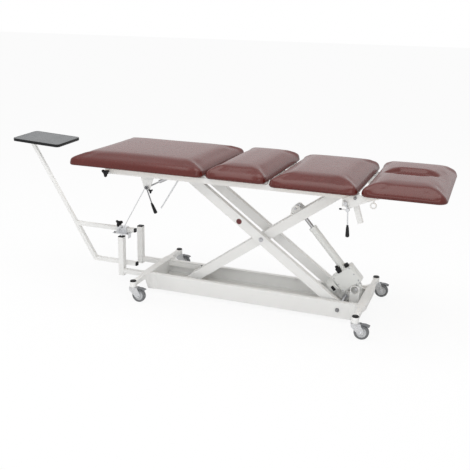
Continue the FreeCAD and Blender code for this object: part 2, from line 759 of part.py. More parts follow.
plate_face = -size("side_rail_out") - 6
far_bolt = put(fuse(rod(5, 34, 0, 0, 0, ALONG_Y), rod(8, 5, 0, 5, 0, ALONG_Y)),
               "head_pivot_x", "side_rail_out + 6", "head_pivot_z")
node("head_pivot_bolts", group(
    pivot_bolt(size("head_pivot_x"), size("head_pivot_z"), plate_face, 34),
    far_bolt,
    rod(4, 26, "clamp_x", plate_face + 14, "clamp_z", ALONG_Y)))


# Actuator between the inner arms and the base; local X runs down its screw

screw_turn = FreeCAD.Rotation(V(0, 1, 0), size("screw_angle"))
tilt = math.radians(arm_angle)
rod_end_x = (size("pivot_x") - size("arm_run") / 2 + size("ear_along") * math.cos(tilt)
             - size("ear_up") * math.sin(tilt))
rod_end_z = ((size("pivot_low") + size("pivot_high")) / 2 + size("ear_along") * math.sin(tilt)
             + size("ear_up") * math.cos(tilt))


def on_screw(item):
    return put(item, rod_end_x, 0, rod_end_z, screw_turn)


def actuator_ears():
    """Two plates inside the inner arms that rise above them to the rod end pin."""
    along = size("ear_along")
    up = size("ear_up")
    plates = []
    for far in (-28, 34):
        points = [(along - 62, -14, 8), (along + 42, -14, 8), (along + 26, 30, 14),
                  (along + 16, up + 15, 15), (along - 15, up + 15, 15), (along - 48, 26, 20)]
        plates.append(upright(points, 6, far, holes=[(along, up, 6.1), (along - 22, 28, 8)]))
    ears = fuse(*plates)
    return put(fuse(ears, cross_rod(7, 33, along - 45, -4)), CENTRE_X, 0, CENTRE_Z,
               FreeCAD.Rotation(V(0, 1, 0), -arm_angle))


node("actuator_ears", actuator_ears())
node("rod_end_pin", fuse(cross_rod(6, 42, rod_end_x, rod_end_z),
                         rod(9, 14, rod_end_x, 27, rod_end_z, ALONG_Y),
                         rod(9, 14, rod_end_x, -13, rod_end_z, ALONG_Y)))
eye = rod(16, 24, 0, 12, 0, ALONG_Y)
rod_bar = rod("rod_radius", 290, 10, 0, 0, ALONG_X)
node("actuator_rod", on_screw(cut(fuse(eye, rod_bar), rod(6.1, 40, 0, 20, 0, ALONG_Y))))

bore = rod("rod_radius + 0.3", "gear_start - tube_start", "tube_start - 1", 0, 0, ALONG_X)
outer_tube = rod("tube_radius", "gear_start - collar_long - tube_start", "tube_start",
                 0, 0, ALONG_X)
seal = rod("tube_radius + 2", 14, "tube_start", 0, 0, ALONG_X)
node("actuator_tube", on_screw(cut(fuse(outer_tube, seal), bore)))


def gear_housing():
    """A block round the end of the screw, a collar for the tube and the tail pin."""
    block = box("gear_end - gear_start", "2 * gear_half", "gear_top - gear_low", "gear_start",
                "-gear_half", "gear_low")
    collar = rod("collar_radius", "collar_long", "gear_start - collar_long", 0, 0, ALONG_X)
    tail_bar = box("tail_at - gear_end", 24, 24, "gear_end", -12, -12)
    tail_eye = rod(16, 24, "tail_at", 12, 0, ALONG_Y)
    pin = cross_rod("tail_pin", "cheek_in + cheek_thick + 4", "tail_at", 0)
    return fuse(cut(collar, bore), block, tail_bar, tail_eye, pin)


node("actuator_housing", on_screw(gear_housing()))


def motor():
    """A can across the screw below the gear housing, with a domed end."""
    radius = size("motor_radius")
    low = size("motor_low")
    top = size("gear_low")
    dome = 8
    can = turned([(0, low, 0), (radius - dome, low, dome), (radius, low + dome, dome),
                  (radius, top, 0), (0, top, 0)])
    return group(put(can, "motor_at", 0, 0))


node("actuator_motor", on_screw(motor()))

# Base bracket of the actuator: two cheeks whose eyes leave room for the tail pin
tail_x = rod_end_x + size("tail_at") * math.cos(math.radians(size("screw_angle")))
tail_z = rod_end_z - size("tail_at") * math.sin(math.radians(size("screw_angle")))
drift = 7.5
eye_x = tail_x - drift
eye_z = tail_z - drift


def bracket_cheek(far):
    """A cheek with a round top and an eye wider than the tail pin."""
    half = size("cheek_half")
    low = size("floor_top")
    corners = [(eye_x - half, low, 0), (eye_x + half, low, 0),
               (eye_x + half, eye_z + half, half - 0.5), (eye_x - half, eye_z + half, half - 0.5)]
    return upright(corners, "cheek_thick", far, holes=[(eye_x, eye_z, size("eye_radius"))])


node("actuator_bracket", group(bracket_cheek("cheek_in + cheek_thick"), bracket_cheek("-cheek_in")))


# Swivel casters with a brake pedal above each trailing wheel

def caster(number, x, y):
    """Fork with stem and axle, wheel behind the stem, and a brake pedal above it."""
    inside = 13
    plate = 3
    crown_low = 2 * size("wheel_radius") + 1.4
    pedal_x = 27
    pedal_z = 78.2
    crown = rod(21, "leg_end_low - 0.4 - %s" % crown_low, 0, 0, crown_low)
    stem = rod("stem_radius", "leg_top - leg_end_low - 8", 0, 0, "leg_end_low - 1")
    side = [(-19, crown_low + 3, 3), (-17, crown_low - 14, 10), (22, 26, 12), (46, 26, 12),
            (46, 50, 12), (pedal_x + 5, crown_low - 3, 3), (pedal_x + 4, 81, 3),
            (pedal_x - 5, 81, 3), (pedal_x - 7, crown_low + 3, 2)]
    sides = [upright(side, plate, far) for far in (-inside, inside + plate)]
    axle = cross_rod("axle_radius", inside + plate + 2, "trail", "wheel_radius")
    pedal_pin = cross_rod(1.5, inside + plate, pedal_x, pedal_z)
    node("caster_%d_fork" % number, put(fuse(crown, stem, axle, pedal_pin, *sides), x, y, 0))
    half = size("wheel_wide") / 2
    rim = size("wheel_radius")
    hub = size("axle_radius") + 0.1
    wheel = turned([(hub, -half, 0), (15, -half, 0), (17, 3 - half, 0), (26, 3 - half, 0),
                    (29, -half, 0), (rim - 2, -half, 3), (rim, 4 - half, 3),
                    (rim, half - 4, 3), (rim - 2, half, 3), (29, half, 0), (26, half - 3, 0),
                    (17, half - 3, 0), (15, half, 0), (hub, half, 0)], turn=ALONG_Y)
    node("caster_%d_wheel" % number,
         put(group(wheel), "(%s) + trail" % x, y, "wheel_radius"))
    pad = upright([(28, 80.2, 1), (28, 77.1, 1), (50, 76.3, 6), (69, 70.6, 1), (74, 71.6, 2),
                   (72, 75, 2), (52, 80.2, 8)], 2 * inside - 0.4, inside - 0.2)
    barrel = rod(2.9, 2 * inside - 0.4, pedal_x, inside - 0.2, pedal_z, ALONG_Y)
    pedal = cut(fuse(pad, barrel), cross_rod(1.6, 20, pedal_x, pedal_z))
    node("caster_%d_pedal" % number, put(pedal, x, y, 0))


CASTERS = ((1, "leg_head_x", "-track_half"), (2, "leg_head_x", "track_half"),
           (3, "leg_foot_x", "-track_half"), (4, "leg_foot_x", "track_half"))
for number, x, y in CASTERS:
    caster(number, x, y)

socket_caps = [rod("socket_radius - 1", 4, x, y, "leg_top") for number, x, y in CASTERS]


# Traction stand: posts on stay tubes, a clamp, and a slanted frame with a shelf

def stand_post(side):
    y = "(%d * post_y)" % side
    post = box("post_side", "post_side", "post_top - post_low", "post_x - post_side / 2",
               y + " - post_side / 2", "post_low")
    stay = box("stay_end - post_x", "stay_side", "stay_side", "post_x",
               y + " - stay_side / 2", "stay_low")
    return fuse(post, stay)


node("stand_posts", group(*both_sides(stand_post)))
post_caps = [box("post_side", "post_side", 4, "post_x - post_side / 2",
                 "%d * post_y - post_side / 2" % side, "post_top") for side in (-1, 1)]
stay_caps = [box(4, "stay_side", "stay_side", "stay_end", "%d * post_y - stay_side / 2" % side,
                 "stay_low") for side in (-1, 1)]
node("base_end_caps", group(*socket_caps, *post_caps, *stay_caps))

stand_near = size("stand_y") - size("stand_tube") / 2
tube_low = size("upper_tube_low")


KNOB_TURN = FreeCAD.Rotation(V(1, 0, 0), 45)
KNOB_REACH = 42
SHELF_TURN = FreeCAD.Rotation(V(0, 1, 0), 3) * FreeCAD.Rotation(V(1, 0, 0), 2.3)


def on_shelf(item):
    """Place an item whose own Z = 0 is the underside of the slightly tilted shelf."""
    return put(group(item), "shelf_x", 0, "shelf_top - shelf_thick", SHELF_TURN)


def centred_plate(long, wide, thick, corner, y=0, z=0):
    half = long / 2
    side = wide / 2
    return plan([(-half, -side, corner), (half, -side, corner), (half, side, corner),
                 (-half, side, corner)], thick, x=0, y=y, z=z)


def stand_clamp():
    """A plate on the near post with a cap that wraps the upper tube."""
    tube = size("stand_tube")
    plate = box(96, 66, 4, "post_x - 42", "-post_y - 28", tube_low - 4.3)
    riser = rod(8, "%s - post_top - 4 - 4.3" % tube_low, "post_x", "-post_y", "post_top + 4")
    front = box(60, 4, tube + 8.6, "post_x - 36", stand_near - 4.3, tube_low - 4.3)
    back = box(60, 4, tube + 8.6, "post_x - 36", stand_near + tube + 0.3, tube_low - 4.3)
    roof = box(60, tube + 8.6, 4, "post_x - 36", stand_near - 4.3, tube_low + tube + 0.3)
    boss = rod(8, 9, "post_x - 6", stand_near - 1, tube_low + tube + 1, KNOB_TURN)
    hook = box(4, 30, 26, "post_x + 50", "-post_y - 20", tube_low - 26.3)
    room = box(80, tube + 0.6, tube + 0.6, "post_x - 46", stand_near - 0.3, tube_low - 0.3)
    hole = rod(4.1, 40, "post_x - 6", stand_near - 0.3, tube_low + tube + 0.3, KNOB_TURN)
    return cut(fuse(plate, riser, front, back, roof, boss, hook), room, hole)


node("stand_clamp", stand_clamp())
knob_off = KNOB_REACH * math.sin(math.radians(45))
node("stand_clamp_knob", star_knob(KNOB_TURN, "post_x - 6", stand_near - knob_off,
                                   tube_low + size("stand_tube") + knob_off))


def stand_frame():
    """Two level arms joined by a slanted tube, and a thinner tube from it to the shelf."""
    side = size("stand_tube")
    thin = size("slant_tube")
    lean = 58.8
    foot_x = -947
    foot_z = size("lower_tube_low")
    climb = math.sin(math.radians(lean))
    thick_long = (tube_low + side / 2 - foot_z) / climb
    thin_long = (size("shelf_top") - tube_low) / climb
    step = (side - thin) / 2
    slant = group(box(thick_long, side, side),
                  box(thin_long, thin, thin, thick_long - 10, step, step))
    slant = put(slant, foot_x, stand_near, foot_z, FreeCAD.Rotation(V(0, 1, 0), lean - 180))
    plate = centred_plate(150, 90, 4, 4, -60, -4)
    above = on_shelf(box(400, 300, 200, -200, -150, -4))
    below = box(200, 60, 60, foot_x - 100, stand_near - 20, foot_z - 60)
    slanted = cut(slant, above, below)
    reach = size("stand_tube_end")
    lower_start = foot_x - 14
    upper_start = foot_x - (tube_low + side / 2 - foot_z) / math.tan(math.radians(lean)) - 16
    lower = box(reach + 7 - lower_start, side, side, lower_start, stand_near, foot_z)
    upper = box(reach - upper_start, side, side, upper_start, stand_near, tube_low)
    return fuse(slanted, lower, upper, on_shelf(plate))


node("stand_frame", stand_frame())
end_x = size("stand_tube_end")
node("stand_end_caps", group(
    box("stand_cap", "stand_tube", "stand_tube", end_x, stand_near, tube_low),
    box("stand_cap", "stand_tube", "stand_tube", end_x + 7, stand_near, "lower_tube_low")))
node("instrument_shelf", on_shelf(centred_plate(size("shelf_long"), size("shelf_wide"),
                                                "shelf_thick", 22)))


# Check every object, then write one file for each sub-part

doc.recompute()
problems = []
for item in doc.Objects:
    if "Invalid" in item.State or "Error" in item.State:
        problems.append("%s %s %s" % (item.Name, item.Label, item.State))
for item in nodes:
    if item.Shape.isNull() or not item.Shape.isValid():
        problems.append("%s has no valid shape" % item.Label)
if problems:
    raise RuntimeError("; ".join(problems))

os.makedirs("parts", exist_ok=True)
for item in nodes:
    item.Shape.exportStep("parts/%s.step" % item.Label)
whole_box = FreeCAD.BoundBox()
for item in nodes:
    whole_box.add(item.Shape.BoundBox)
print("nodes", len(nodes))
print("box", whole_box)
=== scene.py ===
import json
import math

import bmesh
import bpy
from mathutils import Euler, Matrix, Vector, noise

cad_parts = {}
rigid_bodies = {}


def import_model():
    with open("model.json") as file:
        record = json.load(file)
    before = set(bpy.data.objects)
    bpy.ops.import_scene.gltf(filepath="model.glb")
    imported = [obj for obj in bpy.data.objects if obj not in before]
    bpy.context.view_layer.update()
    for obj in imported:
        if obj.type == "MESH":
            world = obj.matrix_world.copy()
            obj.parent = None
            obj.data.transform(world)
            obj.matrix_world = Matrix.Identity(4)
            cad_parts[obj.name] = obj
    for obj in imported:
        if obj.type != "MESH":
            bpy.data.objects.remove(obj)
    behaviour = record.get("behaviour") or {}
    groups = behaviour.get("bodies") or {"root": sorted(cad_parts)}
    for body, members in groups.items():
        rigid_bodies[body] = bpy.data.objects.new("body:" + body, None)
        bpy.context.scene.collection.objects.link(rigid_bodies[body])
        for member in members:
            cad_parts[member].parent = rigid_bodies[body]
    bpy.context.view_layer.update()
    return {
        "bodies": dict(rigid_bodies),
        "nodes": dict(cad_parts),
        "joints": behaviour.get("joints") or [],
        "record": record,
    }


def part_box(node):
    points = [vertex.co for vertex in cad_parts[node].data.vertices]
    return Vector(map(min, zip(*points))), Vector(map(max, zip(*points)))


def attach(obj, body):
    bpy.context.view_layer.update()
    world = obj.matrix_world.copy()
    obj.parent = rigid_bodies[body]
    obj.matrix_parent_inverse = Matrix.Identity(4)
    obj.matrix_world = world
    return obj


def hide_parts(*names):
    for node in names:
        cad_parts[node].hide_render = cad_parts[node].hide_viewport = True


# Treatment table on a scissor lift. The CAD frame stays. The cushions, wheels,
# levers and small fittings are made here. Metres, +Z up, head end at +X.

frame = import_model()
scene = bpy.context.scene
nodes = frame["nodes"]
MM = 0.001
# The frame's X of the spot from which the CAD sheet counts
PAD_MIDDLE = 0.252


def place(x, y, z):
    """A point in the CAD sheet's millimetres, as metres in the frame."""
    return Vector((PAD_MIDDLE + x * MM, y * MM, z * MM))


# Camera at the photograph's viewing angle

def add_camera():
    data = bpy.data.cameras.new("camera")
    camera = bpy.data.objects.new("camera", data)
    scene.collection.objects.link(camera)
    data.sensor_width = 36.0
    data.lens = 54.73
    data.clip_end = 100.0
    yaw = 0.347
    pitch = -0.299
    roll = 0.023
    aim = Euler((math.pi / 2 + pitch, 0.0, yaw)).to_matrix()
    turn = aim @ Matrix.Rotation(roll, 3, "Z")
    camera.matrix_world = Matrix.Translation(place(1129.7, -3514.8, 1501.0)) @ turn.to_4x4()
    scene.camera = camera


add_camera()


# Shader helpers

class Shader:
    """A Principled material whose textures read the piece's own coordinates."""

    def __init__(self, name, colour, roughness, metallic=0.0, coat=0.0):
        self.material = bpy.data.materials.new(name)
        self.material.use_nodes = True
        self.tree = self.material.node_tree
        self.surface = self.tree.nodes["Principled BSDF"]
        self.colour = (*colour, 1.0)
        self.surface.inputs["Base Color"].default_value = self.colour
        self.surface.inputs["Roughness"].default_value = roughness
        self.surface.inputs["Metallic"].default_value = metallic
        self.surface.inputs["Coat Weight"].default_value = coat
        self.where = self.tree.nodes.new("ShaderNodeTexCoord").outputs["Object"]
        self.height = None

    def node(self, kind, **values):
        made = self.tree.nodes.new(kind)
        for key, value in values.items():
            if hasattr(made, key):
                setattr(made, key, value)
            else:
                made.inputs[key.replace("_", " ")].default_value = value
        return made

    def link(self, source, target):
        self.tree.links.new(source, target)

    def stretched(self, x, y, z):
        mapping = self.tree.nodes.new("ShaderNodeMapping")
        mapping.inputs["Scale"].default_value = (x, y, z)
        self.link(self.where, mapping.inputs["Vector"])
        return mapping.outputs["Vector"]

    def noise(self, scale, detail=4.0, vector=None):
        made = self.node("ShaderNodeTexNoise", Scale=scale, Detail=detail)
        self.link(vector or self.where, made.inputs["Vector"])
        return made.outputs["Fac"]

    def cells(self, scale, feature="F1", vector=None):
        made = self.node("ShaderNodeTexVoronoi", feature=feature, Scale=scale)
        self.link(vector or self.where, made.inputs["Vector"])
        return made.outputs["Distance"]

    def ramp(self, value, low, high, start=0.3, stop=0.7):
        made = self.node("ShaderNodeMapRange", From_Min=start, From_Max=stop,
                         To_Min=low, To_Max=high)
        self.link(value, made.inputs["Value"])
        return made.outputs["Result"]

    def mix(self, value, first, second):
        made = self.tree.nodes.new("ShaderNodeMix")
        made.data_type = "RGBA"
        for socket, colour in ((6, first), (7, second)):
            if isinstance(colour, tuple):
                made.inputs[socket].default_value = (*colour[:3], 1.0)
            else:
                self.link(colour, made.inputs[socket])
        self.link(value, made.inputs[0])
        return made.outputs[2]

    def paint(self, value, second, low=0.35, high=0.65):
        """Vary the colour towards a second one where value is high."""
        current = self.surface.inputs["Base Color"]
        first = current.links[0].from_socket if current.links else self.colour
        self.link(self.mix(self.ramp(value, 0.0, 1.0, low, high), first, second), current)

    def shine(self, value, low, high):
        self.link(self.ramp(value, low, high), self.surface.inputs["Roughness"])

    def bump(self, value, depth, strength=1.0):
        made = self.node("ShaderNodeBump", Strength=strength, Distance=depth)
        self.link(value, made.inputs["Height"])
        if self.height is not None:
            self.link(self.height, made.inputs["Normal"])
        self.height = made.outputs["Normal"]
        self.link(self.height, self.surface.inputs["Normal"])


def powder_coat(name, colour):
    """Satin powder coat with faint clouding and orange peel."""
    made = Shader(name, colour, 0.42, coat=0.15)
    made.paint(made.noise(2.5, 3.0), tuple(c * 0.965 for c in colour), 0.4, 0.7)
    made.paint(made.noise(38.0, 6.0), tuple(c * 0.93 for c in colour), 0.62, 0.85)
    made.shine(made.noise(14.0, 5.0), 0.36, 0.5)
    made.bump(made.noise(900.0, 2.0), 0.00012, 0.35)
    return made.material


def vinyl(name):
    """Burgundy upholstery vinyl with a fine leather grain."""
    made = Shader(name, (0.09, 0.0105, 0.008), 0.27, coat=0.04)
    made.surface.inputs["Specular IOR Level"].default_value = 0.42
    made.surface.inputs["Specular Tint"].default_value = (1.0, 0.93, 0.90, 1.0)
    made.paint(made.noise(5.0, 4.0), (0.08, 0.0095, 0.007), 0.35, 0.7)
    made.paint(made.noise(60.0, 5.0), (0.102, 0.0125, 0.0095), 0.5, 0.8)
    made.shine(made.noise(45.0, 5.0), 0.25, 0.30)
    made.bump(made.cells(620.0, "DISTANCE_TO_EDGE"), 0.0001, 0.07)
    made.bump(made.noise(1400.0, 3.0), 0.00006, 0.07)
    return made.material


def metal(name, colour, roughness):
    """Turned or drawn metal with fine marks."""
    made = Shader(name, colour, roughness, metallic=1.0)
    fine = made.noise(300.0, 3.0, made.stretched(1, 1, 1))
    made.shine(fine, roughness * 0.75, roughness * 1.35)
    made.paint(made.noise(25.0, 5.0), tuple(c * 0.82 for c in colour), 0.45, 0.8)
    made.bump(fine, 0.00005, 0.3)
    return made.material


def zinc(name):
    """Zinc plate with a faint spangle."""
    made = Shader(name, (0.74, 0.75, 0.76), 0.34, metallic=1.0)
    made.paint(made.cells(160.0), (0.64, 0.65, 0.67), 0.2, 0.9)
    made.shine(made.noise(70.0, 4.0), 0.24, 0.42)
    made.bump(made.noise(500.0, 3.0), 0.00006, 0.3)
    return made.material


def plastic(name, colour, roughness, specular=0.5):
    """Moulded plastic with a fine grain."""
    made = Shader(name, colour, roughness)
    made.surface.inputs["Specular IOR Level"].default_value = specular
    made.paint(made.noise(20.0, 4.0), tuple(min(1.0, c * 1.25 + 0.004) for c in colour), 0.45, 0.8)
    made.shine(made.noise(90.0, 4.0), roughness * 0.85, min(1.0, roughness * 1.2))
    made.bump(made.noise(700.0, 2.0), 0.0001, 0.3)
    return made.material


def plywood(name):
    """Plywood with long grain and layered edges."""
    made = Shader(name, (0.47, 0.32, 0.18), 0.55)
    along = made.stretched(1.0, 12.0, 60.0)
    made.paint(made.noise(14.0, 6.0, along), (0.34, 0.21, 0.11), 0.4, 0.7)
    made.paint(made.noise(2.0, 3.0, made.stretched(0.2, 1.0, 400.0)), (0.28, 0.17, 0.09), 0.5, 0.6)
    made.bump(made.noise(60.0, 5.0, along), 0.0003, 0.4)
    return made.material


def laminate(name):
    """Grey speckled laminate."""
    made = Shader(name, (0.115, 0.12, 0.125), 0.42)
    made.paint(made.noise(700.0, 2.0), (0.17, 0.175, 0.18), 0.5, 0.7)
    made.paint(made.noise(8.0, 3.0), (0.095, 0.10, 0.105), 0.45, 0.75)
    made.shine(made.noise(120.0, 3.0), 0.36, 0.5)
    made.bump(made.noise(900.0, 2.0), 0.00008, 0.3)
    return made.material


def rubber(name, colour):
    """Dull tread rubber with dusty patches."""
    made = Shader(name, colour, 0.6)
    made.paint(made.noise(30.0, 6.0), tuple(c * 1.5 for c in colour), 0.5, 0.8)
    made.shine(made.noise(60.0, 5.0), 0.5, 0.75)
    made.bump(made.noise(500.0, 3.0), 0.0002, 0.4)
    return made.material


WHITE = powder_coat("white_powder_coat", (0.86, 0.86, 0.845))
VINYL = vinyl("burgundy_vinyl")
ZINC = zinc("zinc_plate")
STEEL = metal("turned_steel", (0.56, 0.56, 0.58), 0.32)
CHROME = metal("polished_rod", (0.45, 0.45, 0.46), 0.2)
BLACK = plastic("black_plastic", (0.006, 0.006, 0.007), 0.42, specular=0.25)
NYLON = plastic("pale_nylon", (0.66, 0.66, 0.63), 0.4)
PEDAL = plastic("grey_pedal", (0.15, 0.155, 0.165), 0.5)
PALE_GREY = powder_coat("actuator_grey", (0.78, 0.79, 0.77))
PLY = plywood("plywood")
LAMINATE = laminate("shelf_laminate")
TREAD = rubber("caster_tread", (0.16, 0.165, 0.17))
HUB = plastic("caster_hub", (0.50, 0.51, 0.52), 0.4)
DARK_ROD = metal("dark_lever_rod", (0.24, 0.24, 0.25), 0.34)
# Bolt finish: the zinc bolts' colour darkened to paint the shade they sit in (painted shade, not
# their own tone)
SHADE_DARKENED_BOLT = metal("bolt_with_painted_shade", (0.30, 0.30, 0.31), 0.38)
MAROON = plastic("maroon_disc", (0.12, 0.02, 0.02), 0.4)

BY_SLOT = {
    "white_frame": WHITE, "zinc": ZINC, "steel_shaft": STEEL, "vinyl": VINYL, "plywood": PLY,
    "black_plastic": BLACK, "nylon": NYLON, "caster_tread": TREAD, "pedal": PEDAL,
    "shelf_laminate": LAMINATE, "cast_housing": PALE_GREY, "chrome_rod": CHROME,
}
for entry in frame["record"]["subparts"]:
    piece = nodes[entry["node"]]
    piece.data.materials.clear()
    piece.data.materials.append(BY_SLOT[entry["material_slot"]])


# Mesh helpers

def add_object(name, mesh, material):
    """Put a mesh in the scene with one smooth-shaded material."""
    made = bpy.data.objects.new(name, mesh)
    scene.collection.objects.link(made)
    mesh.materials.clear()
    mesh.materials.append(material)
    for polygon in mesh.polygons:
        polygon.use_smooth = True
    return made


def apply_modifiers(piece):
    """Turn the modifiers into plain mesh."""
    bpy.context.view_layer.update()
    graph = bpy.context.evaluated_depsgraph_get()
    mesh = bpy.data.meshes.new_from_object(piece.evaluated_get(graph))
    piece.modifiers.clear()
    old = piece.data
    piece.data = mesh
    bpy.data.meshes.remove(old)


class Fittings:
    """Small turned, moulded and swept shapes of one finish on one body.

    Points and sizes are in the CAD sheet's millimetres.
    """

    def __init__(self):
        self.build = bmesh.new()

    def turned(self, spot, axis, profile, sides=28, shape=None, closed=False):
        """Revolve (radius, height) corners about the axis, a direction or a matrix."""
        turn = axis if isinstance(axis, Matrix) else Vector(axis).to_track_quat("Z", "Y").to_matrix()
        origin = place(*spot)
        rows = []
        for radius, height in profile:
            count = sides if radius else 1
            row = []
            for k in range(count):
                angle = 2 * math.pi * k / sides
                reach = radius * (shape(angle) if shape else 1.0)
                point = Vector((reach * math.cos(angle), reach * math.sin(angle), height)) * MM
                row.append(self.build.verts.new(origin + turn @ point))
            rows.append(row)
        if closed:
            rows.append(rows[0])
        self.skin(rows, sides)

    def skin(self, rows, sides):
        """Join rows of vertices with faces; a row of one vertex closes an end."""
        for low, high in zip(rows, rows[1:]):
            for k in range(sides):
                corners = (low[k % len(low)], low[(k + 1) % len(low)],
                           high[(k + 1) % len(high)], high[k % len(high)])
                corners = list(dict.fromkeys(corners))
                if len(corners) > 2:
                    self.build.faces.new(corners)

    def nut(self, spot, axis, radius, height):
        """A chamfered hexagon with the end of its bolt standing out."""
        rim = radius * 0.88
        self.turned(spot, axis, [(0, 0), (radius, 0), (radius, height * 0.8), (rim, height),
                                 (0, height)], sides=6)
        stem = radius * 0.5
        self.turned(spot, axis, [(stem, height * 0.5), (stem, height + 2), (stem - 1, height + 3),
                                 (0, height + 3)], sides=20)

    def dome(self, spot, axis, radius, height):
        """A round button head."""
        profile = [(0, 0), (radius, 0), (radius, height * 0.35)]
        for step in (25, 50, 70):
            angle = math.radians(step)
            profile.append((radius * math.cos(angle), height * (0.35 + 0.65 * math.sin(angle))))
        self.turned(spot, axis, profile + [(0, height)], sides=24)

    def block(self, low, high, radius, frame=None, origin=None):
        """A box with rounded edges, its corners given in a local frame."""
        known = set(self.build.verts)
        corners = bmesh.ops.create_cube(self.build, size=1.0)["verts"]
        for vertex in corners:
            for axis in range(3):
                share = vertex.co[axis] + 0.5
                vertex.co[axis] = low[axis] + share * (high[axis] - low[axis])
        edges = list({edge for vertex in corners for edge in vertex.link_edges})
        bmesh.ops.bevel(self.build, geom=edges, offset=radius, segments=3, profile=0.5,
                        affect="EDGES")
        start = place(*(origin or (0, 0, 0)))
        for vertex in self.build.verts:
            if vertex not in known:
                vertex.co = start + (frame @ vertex.co if frame else vertex.co) * MM

    def sweep(self, points, radii, sides=14):
        """A round bar through points, one radius for each."""
        spots = [place(*point) for point in points]
        rows = []
        for k, spot in enumerate(spots):
            ahead = spots[min(k + 1, len(spots) - 1)] - spots[max(k - 1, 0)]
            turn = ahead.to_track_quat("Z", "Y").to_matrix()
            ring = [turn @ Vector((math.cos(a), math.sin(a), 0)) * radii[k] * MM
                    for a in (2 * math.pi * i / sides for i in range(sides))]
            rows.append([self.build.verts.new(spot + offset) for offset in ring])
        self.skin([[self.build.verts.new(spots[0])]] + rows + [[self.build.verts.new(spots[-1])]],
                  sides)

    def weld(self, start, end, radius=2.4):
        """A rippled bead along a straight joint."""
        begin = Vector(start)
        run = Vector(end) - begin
        count = max(4, int(run.length / 3.5))
        points = [begin + run * k / count for k in range(count + 1)]
        radii = [radius * (0.85 + 0.25 * math.sin(2.4 * k) + 0.2 * noise.noise(p * 0.31))
                 for k, p in enumerate(points)]
        self.sweep([tuple(p) for p in points], radii, sides=8)

    def done(self, name, body, material, slot, *replaced):
        """Make the mesh a piece that rides a body and may replace CAD nodes."""
        mesh = bpy.data.meshes.new(name)
        bmesh.ops.recalc_face_normals(self.build, faces=self.build.faces)
        self.build.to_mesh(mesh)
        self.build.free()
        piece = add_object(name, mesh, material)
        mesh.set_sharp_from_angle(angle=math.radians(38))
        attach(piece, body)
        if replaced:
            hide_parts(*replaced)


NEAR = (0, -1, 0)
FAR = (0, 1, 0)
UP = (0, 0, 1)
DOWN = (0, 0, -1)
BITE = 0.2


def bolt(made, spot, axis, washer, across, height=8, thick=1.6):
    """A washer under a nut, outside a face."""
    made.turned(spot, axis, [(0, 0), (washer, 0), (washer, thick), (0, thick)])
    made.nut(tuple(Vector(spot) + Vector(axis) * (thick - BITE)), axis, across, height)


# Cushions: each CAD form is remeshed, blown up a little as cloth, smoothed and crowned

REMESH = 0.006
SHRINK = 0.004
SINK = 0.005
SWELL_CAP = 0.006
LAST_FRAME = 20
HELD_BELOW = 0.014
SMOOTH_FROM = 0.012
SMOOTH_FULL = 0.024
CROWN = 0.009
CORNER = 0.085
CORNER_BELOW = 0.04
END_LONG = 0.1
RECESS_SPREAD = 0.32


def shrunk_copy(node):
    """The cushion's mesh, slightly smaller than the CAD form."""
    low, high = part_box(node)
    middle = (low + high) / 2
    mesh = nodes[node].data.copy()
    for vertex in mesh.vertices:
        offset = vertex.co - middle
        up = (vertex.co.z - low.z) / (high.z - low.z)
        vertex.co.x = middle.x + offset.x * (1 - SHRINK / (high.x - low.x))
        vertex.co.y = middle.y + offset.y * (1 - SHRINK / (high.y - low.y))
        vertex.co.z -= SINK * up
    return mesh


def blow_up(piece, base_height):
    """Cloth with pressure; the underside that lies on the board stays put."""
    rest = [vertex.co.copy() for vertex in piece.data.vertices]
    held = piece.vertex_groups.new(name="held")
    for vertex in piece.data.vertices:
        if vertex.co.z < base_height:
            held.add([vertex.index], 1.0, "REPLACE")
    cloth = piece.modifiers.new("cloth", "CLOTH")
    settings = cloth.settings
    settings.quality = 5
    settings.mass = 0.3
    settings.use_pressure = True
    settings.uniform_pressure_force = 4.0
    settings.tension_stiffness = 18.0
    settings.compression_stiffness = 18.0
    settings.bending_stiffness = 1.2
    settings.effector_weights.gravity = 0.0
    settings.vertex_group_mass = "held"
    cloth.collision_settings.use_collision = False
    cloth.point_cache.frame_start = 1
    cloth.point_cache.frame_end = LAST_FRAME
    for step in range(1, LAST_FRAME + 1):
        scene.frame_set(step)
    apply_modifiers(piece)
    for vertex, start in zip(piece.data.vertices, rest):
        moved = vertex.co - start
        if moved.length > SWELL_CAP:
            vertex.co = start + moved.normalized() * SWELL_CAP
    scene.frame_set(1)


def eased(value, start, stop):
    """A smooth step from 0 at start to 1 at stop."""
    share = min(max((value - start) / (stop - start), 0.0), 1.0)
    return share * share * (3 - 2 * share)


def corner_reach(across, along, radius, cut):
    """How far a corner of radius cut reaches from the centre of a wider corner."""
    inner = radius - cut
    if along * radius <= inner * across:
        return radius / across
    if across * radius <= inner * along:
        return radius / along
    total = inner * (across + along)
    return total + math.sqrt(max(total * total - 2 * inner * inner + cut * cut, 0.0))


def crown(piece, low, high, end_drop):
    """Round the plan corners, lift the top a little and let the free end fall away."""
    middle = (low + high) / 2
    half = (high - low) / 2
    for vertex in piece.data.vertices:
        spot = vertex.co
        up = (spot.z - low.z) / (high.z - low.z)
        x = spot.x - middle.x
        y = spot.y - middle.y
        away_x = abs(x) - (half.x - CORNER)
        away_y = abs(y) - (half.y - CORNER)
        if away_x > 0 and away_y > 0:
            far = math.hypot(away_x, away_y)
            reach = corner_reach(away_x / far, away_y / far, CORNER, CORNER_BELOW)
            pull = (CORNER / reach - 1) * eased(up, 0.1, 0.9)
            x += math.copysign(away_x * pull, x)
            y += math.copysign(away_y * pull, y)
        if end_drop:
            y *= 1 + RECESS_SPREAD * (1 - eased(abs(y), 0.05, 0.14))
            spot.z -= end_drop * up * max((x - half.x + END_LONG) / END_LONG, 0.0) ** 2
        edge = (1 - min(abs(x / half.x), 1.0) ** 4) * (1 - min(abs(y / half.y), 1.0) ** 4)
        spot.x = middle.x + x
        spot.y = middle.y + y
        spot.z += CROWN * edge * eased(up, 0.3, 1.0)


